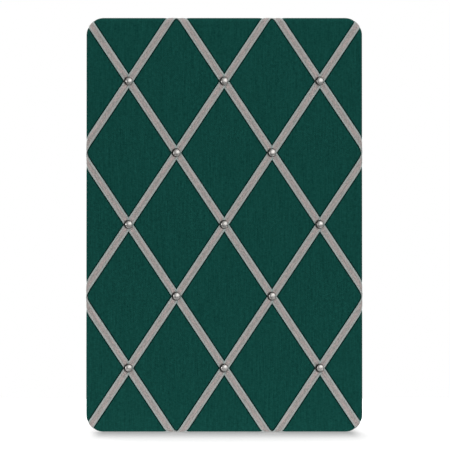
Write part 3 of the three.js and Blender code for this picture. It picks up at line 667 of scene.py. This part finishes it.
def makeRibbons():
    # a flat strip with rounded edges, carried along its line on the face and over both edges to the back
    ribbon = {"wide": lattice["ribbonWide"], "thick": 0.6, "lift": 0.2, "tail": 38.0,
              "edgeRound": 0.35, "edgeCurl": 0.2, "edgePower": 8,  # the woven edges are rounded off
              "stepOver": 0.8, "stepFrom": 0.6, "stepTo": 7.0,  # a rising ribbon steps over a falling one
              "across": 9, "faceStep": 2.2, "edgeSteps": (8, 6, 4, 9), "farOut": 900.0, "halvings": 50}
    tailRun = turnRun - panel["turn"] + ribbon["tail"]
    edgeRun = edgeRuns(ribbon["edgeSteps"], tailRun)
    share = np.linspace(-1, 1, ribbon["across"])
    soft = np.abs(share) ** ribbon["edgePower"]
    width = np.concatenate([share, share[::-1]]) * ribbon["wide"] / 2
    height = np.concatenate([1 - ribbon["edgeRound"] * soft, ribbon["edgeCurl"] * soft[::-1]])
    height = height * ribbon["thick"]

    def stripPlace(origin, travel, along, across):
        return (origin[0] + travel[0] * along - travel[1] * across,
                origin[1] + travel[1] * along + travel[0] * across)

    def leaveFace(origin, travel, across, sign):
        # bisection for the length at which each thread of the ribbon reaches the roll
        near, far = np.zeros_like(across), np.full_like(across, sign * ribbon["farOut"])
        for _ in range(ribbon["halvings"]):
            half = (near + far) / 2
            inside = outlineInside(*stripPlace(origin, travel, half, across))[0] > 0
            near, far = np.where(inside, half, near), np.where(inside, far, half)
        return near

    def stand(flatX, flatZ, rising):
        # height over the cloth, with the step over each falling ribbon
        edge = ribbon["wide"] / 2
        over = 1 - ease(edge + ribbon["stepFrom"], edge + ribbon["stepTo"],
                        lineDistance(latticeCoords(flatX, flatZ)[0]))
        return ribbon["lift"] + (ribbon["stepOver"] * over if rising else 0 * over)

    def wrapEnd(origin, travel, exits, sign, rising):
        # beyond the roll's start each thread keeps its direction on the unrolled edge: sideways drift in
        # proportion to the run; round a corner the drift is an angle about the corner's centre
        exitX, exitZ = stripPlace(origin, travel, exits, width)
        midX, midZ = stripPlace(origin, travel, leaveFace(origin, travel, np.zeros(1), sign), np.zeros(1))
        wayX, wayZ = (w[0] for w in outlineInside(midX, midZ)[1:])
        outShare = sign * (travel[0] * wayX + travel[1] * wayZ)
        drift = sign * (travel[1] * wayX - travel[0] * wayZ) / outShare
        run = edgeRun[:, None] + 0 * width
        along = exits + sign * run / outShare
        flatX, flatZ = stripPlace(origin, travel, along, width)
        out, y = edgeProfile(run, stand(flatX, flatZ, rising) + height - edgeDepth(flatX, flatZ, run))
        if min(abs(wayX), abs(wayZ)) < 1e-6:  # over a straight edge
            x = exitX + wayX * out - wayZ * drift * run
            z = exitZ + wayZ * out + wayX * drift * run
        else:
            centreX = np.sign(midX) * (startX - startCorner)
            centreZ = np.sign(midZ) * (startZ - startCorner)
            onEdge = np.minimum(run, turnRun)
            atEdge = startCorner + np.where(run > turnRun, panel["roll"] - panel["turn"], out)
            bare = startCorner + edgeProfile(onEdge, 0.0)[0]
            start = math.atan2(wayZ, wayX)
            fan = np.arctan2(exitZ - centreZ, exitX - centreX) - start
            angle = start + (startCorner * np.arctan2(np.sin(fan), np.cos(fan)) + drift * onEdge) / bare
            last = start + drift * turnRun / (startCorner + panel["roll"] - panel["turn"])
            back = np.maximum(run - turnRun, 0)
            x = centreX + atEdge * np.cos(angle) - back * (np.cos(last) + np.sin(last) * drift)
            z = centreZ + atEdge * np.sin(angle) - back * (np.sin(last) - np.cos(last) * drift)
        return np.stack([x, y, z], -1), along, tailRun / outShare

    tails = []
    half, behind = ribbon["across"], ribbon["edgeSteps"][-1]
    for kind, rising in (("falling", False), ("rising", True)):
        for count in range(-lattice["lines"], lattice["lines"] + 1):
            origin = (diamondX * count, diamondZ * count * (-1 if rising else 1))
            travel = (diamondX / diamondSide, diamondZ / diamondSide * (1 if rising else -1))
            first, last = (leaveFace(origin, travel, width, sign) for sign in (-1, 1))
            rows = int((last - first).max() / ribbon["faceStep"])
            along = first + np.linspace(0, 1, rows)[:, None] * (last - first)
            flatX, flatZ = stripPlace(origin, travel, along, width)
            y = panel["frontY"] + faceSink(flatX, flatZ) - stand(flatX, flatZ, rising) - height
            face = np.stack([flatX, y, flatZ], -1)
            headPoints, headAlong, headLength = wrapEnd(origin, travel, first, -1, rising)
            tailPoints, tailAlong, tailLength = wrapEnd(origin, travel, last, 1, rising)
            points = np.concatenate([headPoints[::-1], face, tailPoints])
            along = np.concatenate([headAlong[::-1], along, tailAlong])
            uv = np.stack([width + 0 * along, along], -1).reshape(-1, 2)
            index = gridIndex(points)
            sides = gridFaces(np.concatenate([index, index[:, :1]], 1))
            caps = [np.stack([row[:half - 1], row[1:half], row[::-1][1:half], row[::-1][:half - 1]], -1)
                    for row in (index[0], index[-1])]
            piece = makePiece(f"ribbon_{kind}_{count + lattice['lines'] + 1}", "woven", points + centred,
                              np.concatenate([sides, *caps]), ribbonWeave, uv=uv)
            tails += [end[-behind:, :half].mean(1) for end in (tailPoints, headPoints)]  # outer side, behind
    return tails


def makeTacks():
    # a hollow dome with a rolled lip, and a shank inside it, turned round the Y axis
    tack = {"radius": 5.8, "dome": 3.4, "wall": 0.7, "lip": 0.25, "lipDrop": 0.6,
            "shank": 0.9, "length": 16.0, "point": 2.5,
            "segments": 56, "bowSteps": 22, "lipSteps": 6, "innerSteps": 8}
    bow = np.linspace(0, quarter, tack["bowSteps"])
    lip = np.linspace(0, math.pi, tack["lipSteps"])[1:]
    hollow = tack["radius"] - tack["wall"]
    inner = np.linspace(quarter, math.asin(tack["shank"] / hollow), tack["innerSteps"])
    radius = np.concatenate([
        tack["radius"] * np.sin(bow), tack["radius"] - tack["lip"] * (1 - np.cos(lip)) / 2,
        hollow * np.sin(inner), [tack["shank"], 0],
    ])
    height = np.concatenate([
        tack["dome"] * np.cos(bow), -tack["lip"] * np.sin(lip) * tack["lipDrop"],
        (tack["dome"] - tack["wall"]) * np.cos(inner), [tack["point"] - tack["length"], -tack["length"]],
    ])
    points, faces = turned(list(zip(radius, -height)), tack["segments"])
    for name in [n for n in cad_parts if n.startswith("tack_")]:
        low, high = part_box(name)
        middle = (low + high) / 2 / mm
        seat = (middle.x, low.y / mm + tack["dome"], middle.z)
        makePiece(name, "dome", points + seat, faces, nickel)


def makeFelt(tails):
    # a flat sheet over a rounded grid, lifted by what lies under it
    sheet = {"inset": 10.0, "step": 2.6, "thick": 1.2, "middleY": -6.5,
             "hemY": -5.6, "hemFrom": 15.0, "hemTo": 24.0,  # the cloth's hem lifts it, this far from the edge
             "over": 1.3, "ridge": (6.0, 13.0), "ridgeStart": (-30.0, -18.0), "ridgeEnd": (1.0, 9.0),
             "mound": (5.0, 12.5), "cornerY": -3.2, "bumper": 24.0, "pile": (7.0, 22.0),
             "press": 0.1, "pressWide": 2.5}
    x, z, index = roundedGrid(panel["halfWide"] - sheet["inset"], panel["halfTall"] - sheet["inset"],
                              panel["corner"] - sheet["inset"], sheet["step"])[:3]
    edge = outlineInside(x, z, panel["halfWide"], panel["halfTall"], panel["corner"])[0]
    onHem = 1 - ease(sheet["hemFrom"], sheet["hemTo"], edge)
    y = sheet["middleY"] + (sheet["hemY"] - sheet["middleY"]) * onHem
    # each ribbon tail lifts the felt as a ridge, flat over the tail, that eases down beside and past it
    ridges = y
    for tail in tails:
        start, finish = tail[0], tail[-1]
        wayX, wayZ = finish[0] - start[0], finish[2] - start[2]
        size = math.hypot(wayX, wayZ)
        along = ((x - start[0]) * wayX + (z - start[2]) * wayZ) / size
        beside = np.abs((x - start[0]) * wayZ - (z - start[2]) * wayX) / size
        ridge = (1 - ease(*sheet["ridge"], beside)) * (1 - ease(*sheet["ridgeEnd"], along - size))
        ridge = ridge * ease(*sheet["ridgeStart"], along)
        ridges = np.maximum(ridges, y + (finish[1] + sheet["over"] - y) * ridge)
    y = ridges
    # each staple's crown lifts it further, as a round mound that eases down
    for name in [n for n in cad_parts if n.startswith("staple_")]:
        low, high = nodeBox(name)
        beside = np.hypot(x - (low.x + high.x) / 2, z - (low.z + high.z) / 2 + panel["centreZ"])
        y = np.maximum(y, y + (high.y + sheet["over"] - y) * (1 - ease(*sheet["mound"], beside)))
    # pleats and tails pile up in the corners, where the bumpers sit
    reach = np.hypot(np.abs(x) - panel["halfWide"] + sheet["bumper"],
                     np.abs(z) - panel["halfTall"] + sheet["bumper"])
    y = y + (sheet["cornerY"] - y) * (1 - ease(*sheet["pile"], reach))
    y = y - sheet["press"] * (1 - ease(0, sheet["pressWide"], edge - sheet["inset"]))
    points = np.stack([x, y, z], -1) + centred
    piece = makePiece("felt_back", "matted", points, gridFaces(index)[:, ::-1], felt, closed=False)
    thicken(piece, sheet["thick"])


strap = {"leaf": 0.8, "loop": 1.7, "length": 27.0, "half": 5.0, "shoulder": 5.0, "closeUp": 0.62,
         "tip": 0.02, "thin": 0.98, "bevel": 0.12,
         "backSteps": 27, "turnSteps": 22, "frontSteps": 24, "across": 13}


def makeStrap(side, middle, lowY, barY, barZ):
    # one sheet-metal strip down the back leaf, round the bar and down the front leaf; the strip's half
    # width narrows as a semicircle at the screw end
    turn = np.linspace(-quarter, math.pi - strap["closeUp"], strap["turnSteps"])
    pathY = np.concatenate([
        np.full(strap["backSteps"], lowY + strap["leaf"] / 2), barY + strap["loop"] * np.sin(turn),
        np.full(strap["frontSteps"], lowY + strap["leaf"] * 3 / 2),  # the front leaf lies on the back one
    ])
    pathZ = np.concatenate([
        np.linspace(-strap["length"], 0, strap["backSteps"] + 1)[:-1], strap["loop"] * np.cos(turn),
        np.linspace(-strap["shoulder"], -strap["length"], strap["frontSteps"]),
    ])
    fromEnd = np.clip((pathZ + strap["length"]) / strap["half"], strap["tip"], 1)
    half = strap["half"] * np.sqrt(1 - (1 - fromEnd) ** 2)
    across = np.linspace(-1, 1, strap["across"])
    level = np.ones(strap["across"])
    points = np.stack([middle + np.outer(half, across), np.outer(pathY, level),
                       barZ + np.outer(pathZ, level)], -1)
    piece = makePiece(f"hanger_strap_{side}", "folded", points, gridFaces(gridIndex(points)), steel,
                      closed=False)
    thicken(piece, strap["leaf"] * strap["thin"], 0.0)
    edge = piece.modifiers.new("edge", "BEVEL")
    edge.width, edge.segments, edge.limit_method = strap["bevel"] * mm, 2, "ANGLE"


def makeRing(side, middle, barY, barZ):
    # a round wire carried along a D of bar, two small corners, two legs and a half circle
    ring = {"wire": 1.0, "wide": 18.0, "leg": 4.0, "corner": 1.6, "lift": 0.8,
            "barSteps": 12, "cornerSteps": 9, "bowSteps": 41, "round": 17}
    wide, leg, corner = ring["wide"] / 2, ring["leg"], ring["corner"]
    small = np.linspace(quarter, 0, ring["cornerSteps"])
    bow = np.linspace(0, -math.pi, ring["bowSteps"])
    dX = np.concatenate([np.linspace(corner - wide, wide - corner, ring["barSteps"] + 1)[:-1],
                         wide - corner + corner * np.cos(small), wide * np.cos(bow),
                         corner - wide - corner * np.cos(small[::-1])])[:-1]
    dZ = np.concatenate([np.zeros(ring["barSteps"]),
                         -corner + corner * np.sin(small), -leg + wide * np.sin(bow),
                         -corner + corner * np.sin(small[::-1])])[:-1]
    aheadX, aheadZ = (np.roll(d, -1) - np.roll(d, 1) for d in (dX, dZ))
    size = np.hypot(aheadX, aheadZ)
    wireAngle = np.linspace(0, 2 * math.pi, ring["round"])
    thick = ring["wire"] * np.cos(wireAngle)
    tubeX = dX[:, None] + np.outer(-aheadZ / size, thick)
    tubeZ = dZ[:, None] + np.outer(aheadX / size, thick)
    tubeY = np.outer(np.ones(len(dX)), ring["wire"] * np.sin(wireAngle))
    tilt = math.asin(ring["lift"] / (leg + wide))
    points = np.stack([middle + tubeX, barY + tubeY * math.cos(tilt) - tubeZ * math.sin(tilt),
                       barZ + tubeY * math.sin(tilt) + tubeZ * math.cos(tilt)], -1)
    points = np.concatenate([points, points[:1]])
    makePiece(f"hanger_ring_{side}", "wire", points, gridFaces(gridIndex(points)), steel,
              body=f"ring_{side}")


def makeScrew(side):
    # pan head over polar rings, dished by a square and rounded by a cosine at its rim; the crossed slots
    # sink it where either half slot reaches
    screw = {"radius": 3.2, "head": 1.8, "crown": 2.5, "dish": 0.22,
             "rimFrom": 0.95, "edgeFrom": 0.25, "edgePower": 0.7,
             "slotWide": (0.38, 0.5), "slotLong": (1.8, 2.2), "slotDepth": 1.0,
             "shank": 1.5, "length": 12.0, "point": 3.0,
             "crownSteps": 44, "rimSteps": 9, "round": 97, "sharp": 50}
    low, high = nodeBox(f"hanger_screw_{side}")
    crownRadius = np.linspace(0, screw["crown"], screw["crownSteps"])
    rim = np.linspace(screw["rimFrom"], quarter, screw["rimSteps"])
    edge = np.cos(np.linspace(screw["edgeFrom"], quarter, screw["rimSteps"])) ** screw["edgePower"]
    radius = np.concatenate([crownRadius, screw["radius"] * np.sin(rim)])
    crown = screw["head"] * np.concatenate([
        1 - screw["dish"] * (crownRadius / screw["crown"]) ** 2, (1 - screw["dish"]) * edge,
    ])
    angle = np.linspace(0, 2 * math.pi, screw["round"])
    headX, headZ = np.outer(radius, np.cos(angle)), np.outer(radius, np.sin(angle))
    slots = [(1 - ease(*screw["slotWide"], np.abs(across))) * (1 - ease(*screw["slotLong"], np.abs(down)))
             for across, down in ((headX, headZ), (headZ, headX))]
    headY = crown[:, None] - screw["slotDepth"] * np.maximum(*slots)
    under = [(screw["radius"], 0.0), (screw["shank"], 0.0),
             (screw["shank"], screw["point"] - screw["length"]), (0.0, -screw["length"])]
    for ringRadius, ringY in under:
        headX = np.concatenate([headX, ringRadius * np.cos(angle)[None]])
        headZ = np.concatenate([headZ, ringRadius * np.sin(angle)[None]])
        headY = np.concatenate([headY, np.full((1, screw["round"]), ringY)])
    points = np.stack([(low.x + high.x) / 2 + headX, high.y - screw["head"] + headY,
                       (low.z + high.z) / 2 + headZ], -1)
    makePiece(f"hanger_screw_{side}", "turned", points, gridFaces(gridIndex(points)), steel,
              sharp=screw["sharp"])


def makeHangers():
    for side in ("left", "right"):
        low, high = nodeBox(f"hanger_strap_{side}")
        middle = (low.x + high.x) / 2
        barY = low.y + strap["leaf"] / 2 + strap["loop"]
        barZ = high.z - strap["leaf"] / 2 - strap["loop"]
        makeStrap(side, middle, low.y, barY, barZ)
        makeRing(side, middle, barY, barZ)
        makeScrew(side)


def makeBumpers():
    # a flat pad with a rounded rim and a short straight foot, turned round the Y axis
    bumper = {"radius": 5.0, "high": 3.0, "round": 0.9, "foot": 0.35, "footHigh": 0.4, "flat": 2.4,
              "bendSteps": 8, "segments": 48, "sharp": 40}
    bend = np.linspace(0, quarter, bumper["bendSteps"])
    shoulder = bumper["radius"] - bumper["foot"] - bumper["round"]
    radius = np.concatenate([[0, bumper["flat"]], shoulder + bumper["round"] * np.sin(bend),
                             [bumper["radius"], bumper["radius"], 0]])
    height = np.concatenate([[0, 0], -bumper["round"] * (1 - np.cos(bend)),
                             [bumper["footHigh"] - bumper["high"], -bumper["high"], -bumper["high"]]])
    points, faces = turned(list(zip(radius, height)), bumper["segments"])
    for side in ("left", "right"):
        low, high = nodeBox(f"wall_bumper_{side}")
        place = ((low.x + high.x) / 2, high.y, (low.z + high.z) / 2)
        makePiece(f"wall_bumper_{side}", "pad", points + place, faces, rubber,
                  sharp=bumper["sharp"])


makeCover()
makeWadding()
print("stage: cloth and wadding")
ribbonTails = makeRibbons()
print("stage: ribbons")
makeTacks()
makeFelt(ribbonTails)
makeHangers()
makeBumpers()
print("stage: tacks, felt and hangers")


def seenDirectly(tree, path):
    # 1 for rays from the camera, also through glass
    return calc(tree, "MAXIMUM", path["Is Camera Ray"], path["Is Transmission Ray"])


def grey(level):
    return (level, level, level, 1)


def makeFloor():
    # pale floor just under the board, white where the camera looks past it, with a painted soft shadow round
    # the board's foot
    floor = {"wide": 0.5, "front": -0.26, "back": 0.4, "below": 0.0004,
             "footX": 0.0035, "footHalf": (panel["halfWide"] - 22) * mm,  # the shadow spreads from this foot
             "footY": -0.017, "footDeep": 0.0115,
             "sides": 2.8,  # it ends this much sooner beside the board than before it
             "start": 0.006, "near": 0.045, "far": 0.23, "lift": 0.365, "mid": 0.605,
             "paleNear": 0.3, "paleFar": 0.85, "paleReach": 0.25,
             # how much brighter the floor glows to diffuse rays near the foot: painted light
             "shine": 0.2, "paintedBounceNear": 2.3, "paintedBounceFar": 0.45, "paintedBounceReach": 0.07}
    wide, front, back = floor["wide"], floor["front"], floor["back"]
    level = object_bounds()[0].z - floor["below"]
    corners = [(x, y, level) for x, y in ((-wide, front), (wide, front), (wide, back), (-wide, back))]
    mesh = bpy.data.meshes.new("paleFloor")
    mesh.from_pydata(corners, [], [(0, 1, 2, 3)])
    material = bpy.data.materials.new("paleFloor")
    material.use_nodes = True
    tree = material.node_tree
    tree.nodes.clear()
    axes = axesOf(tree, objectPlace(tree))
    beside = calc(tree, "ABSOLUTE", calc(tree, "SUBTRACT", axes[0], floor["footX"]))
    beside = calc(tree, "MAXIMUM", calc(tree, "SUBTRACT", beside, floor["footHalf"]), 0.0)
    before = calc(tree, "ABSOLUTE", calc(tree, "SUBTRACT", axes[1], floor["footY"]))
    before = calc(tree, "MAXIMUM", calc(tree, "SUBTRACT", before, floor["footDeep"]), 0.0)
    beside = calc(tree, "MULTIPLY", beside, floor["sides"])
    squares = [calc(tree, "POWER", distance, 2.0) for distance in (beside, before)]
    away = calc(tree, "SQRT", calc(tree, "ADD", *squares))
    # painted shadow: the camera's white is lowered near the foot and rises to full white away from it
    glow = calc(tree, "ADD", remap(tree, away, floor["start"], floor["near"], floor["lift"], floor["mid"]),
                remap(tree, away, floor["near"], floor["far"], 0.0, 1 - floor["mid"]))
    path = addNode(tree, "ShaderNodeLightPath").outputs
    # painted light: near the foot the floor glows brighter to diffuse rays, lighting the board's lower edge
    paintedBounce = remap(tree, away, 0.0, floor["paintedBounceReach"], floor["paintedBounceNear"], floor["paintedBounceFar"])
    shine = calc(tree, "MULTIPLY", path["Is Glossy Ray"], floor["shine"])
    seen = calc(tree, "MAXIMUM", seenDirectly(tree, path), shine)
    seen = calc(tree, "MAXIMUM", seen, calc(tree, "MULTIPLY", path["Is Diffuse Ray"], paintedBounce))
    glow = calc(tree, "MULTIPLY", glow, seen)
    # painted shadow: the floor is darker near the foot
    pale = remap(tree, away, 0.0, floor["paleReach"])
    pale = mixColour(tree, pale, grey(floor["paleNear"]), grey(floor["paleFar"]))
    diffuse = addNode(tree, "ShaderNodeBsdfDiffuse", {"Color": pale})
    light = addNode(tree, "ShaderNodeEmission", {"Color": grey(1), "Strength": glow})
    both = addNode(tree, "ShaderNodeAddShader", {0: diffuse.outputs[0], 1: light.outputs[0]})
    addNode(tree, "ShaderNodeOutputMaterial", {"Surface": both.outputs[0]})
    mesh.materials.append(material)
    piece = bpy.data.objects.new("paleFloor", mesh)
    bpy.context.scene.collection.objects.link(piece)


def makeStudio():
    # white to the camera and behind the board; metal sees a room that is dark on the left and below
    studio = {"level": 0.5, "behind": (-0.15, 0.25), "leftToRight": (-0.7, 0.35, 0.3, 0.6),
              "lowToHigh": (-0.8, 0.2, 0.3, 1.0)}
    world = bpy.data.worlds.new("studio")
    bpy.context.scene.world = world
    world.use_nodes = True
    tree = world.node_tree
    tree.nodes.clear()
    path = addNode(tree, "ShaderNodeLightPath").outputs
    axes = axesOf(tree, addNode(tree, "ShaderNodeTexCoord").outputs["Generated"])
    behind = remap(tree, axes[1], *studio["behind"])
    mirrored = calc(tree, "MULTIPLY", path["Is Glossy Ray"], behind)
    seen = calc(tree, "MAXIMUM", seenDirectly(tree, path), mirrored)
    room = calc(tree, "MULTIPLY", remap(tree, axes[0], *studio["leftToRight"]),
                remap(tree, axes[2], *studio["lowToHigh"]))
    dim = calc(tree, "MULTIPLY", path["Is Glossy Ray"], calc(tree, "SUBTRACT", room, studio["level"]))
    dim = calc(tree, "ADD", dim, studio["level"])
    dim = addNode(tree, "ShaderNodeBackground", {"Color": grey(1), "Strength": dim})
    white = addNode(tree, "ShaderNodeBackground", {"Color": grey(1), "Strength": 1.0})
    mixed = addNode(tree, "ShaderNodeMixShader", {0: seen, 1: dim.outputs[0], 2: white.outputs[0]})
    addNode(tree, "ShaderNodeOutputWorld", {"Surface": mixed.outputs[0]})


def makeLamps():
    faceMiddle = (0, panel["frontY"] * mm, panel["centreZ"] * mm)
    lamps = {  # place, size, watts and aim
        "keyLamp": ((0.5, -2.05, 0.55), (2.0, 2.0), 14, faceMiddle),
        "sideLamp": ((1.6, -1.2, 1.1), (2.6, 2.6), 14, faceMiddle),
        "fillLamp": ((-2.1, -0.9, -0.1), (0.4, 0.7), 9, faceMiddle),
        "topLamp": ((0.0, 0.15, 1.3), (1.6, 0.5), 7, (0, 0.1, -0.5)),
        "backLamp": ((-1.1, 1.7, 0.7), (1.2, 1.2), 22, faceMiddle),
    }
    for name, (place, size, power, aim) in lamps.items():
        data = bpy.data.lights.new(name, "AREA")
        data.shape, data.size, data.size_y, data.energy = "RECTANGLE", size[0], size[1], power
        lamp = bpy.data.objects.new(name, data)
        lamp.location = place
        lamp.rotation_euler = (Vector(aim) - Vector(place)).to_track_quat("-Z", "Y").to_euler()
        bpy.context.scene.collection.objects.link(lamp)


def makeCamera():
    view = {"distance": 2.0, "lookUp": 0.5, "frameWide": 0.6611, "shift": (0.0016, -0.0011), "sensor": 36.0}
    data = bpy.data.cameras.new("camera")
    data.sensor_width = view["sensor"]
    data.lens = view["sensor"] * view["distance"] / view["frameWide"]
    data.shift_x, data.shift_y = view["shift"]
    rise = math.radians(view["lookUp"])
    centre = Vector((0, panel["frontY"] * mm, panel["centreZ"] * mm))
    camera = bpy.data.objects.new("camera", data)
    camera.location = centre + view["distance"] * Vector((0, -math.cos(rise), -math.sin(rise)))
    camera.rotation_euler = (centre - camera.location).to_track_quat("-Z", "Y").to_euler()
    bpy.context.scene.collection.objects.link(camera)
    bpy.context.scene.camera = camera


makeFloor()
makeStudio()
makeLamps()
makeCamera()
bpy.context.scene.view_settings.view_transform = "Standard"
print("stage: floor, lamps and camera")
